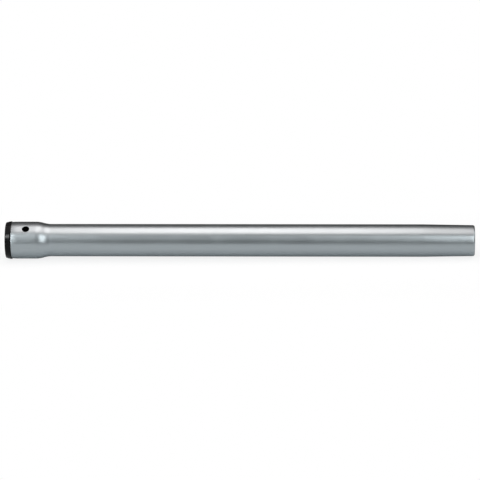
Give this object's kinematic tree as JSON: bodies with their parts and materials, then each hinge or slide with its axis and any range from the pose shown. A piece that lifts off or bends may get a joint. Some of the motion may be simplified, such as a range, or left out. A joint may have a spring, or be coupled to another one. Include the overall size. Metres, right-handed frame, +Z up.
{
  "type": "vacuum cleaner tube",
  "caption": "Straight metal vacuum cleaner extension tube with a belled socket lined by a black plastic bush, a round lock hole in the bell, and a slightly tapered spigot end with a rolled-in edge.",
  "frame": {"origin": "on the tube's axis, in the plane of the metal tube's socket edge, where the bush's flange seats", "axes": "+X along the tube towards the spigot, +Z up as it lies; the lock hole faces 33 degrees from +Z towards -Y"},
  "size_m": [0.5063, 0.041, 0.041],
  "materials": {
    "satin_aluminium": "satin, drawn lengthways",
    "black_plastic": "moulded, soft sheen"
  },
  "bodies": {
    "root": {"tube": "satin_aluminium", "socket_bush": "black_plastic"}
  },
  "joints": []
}
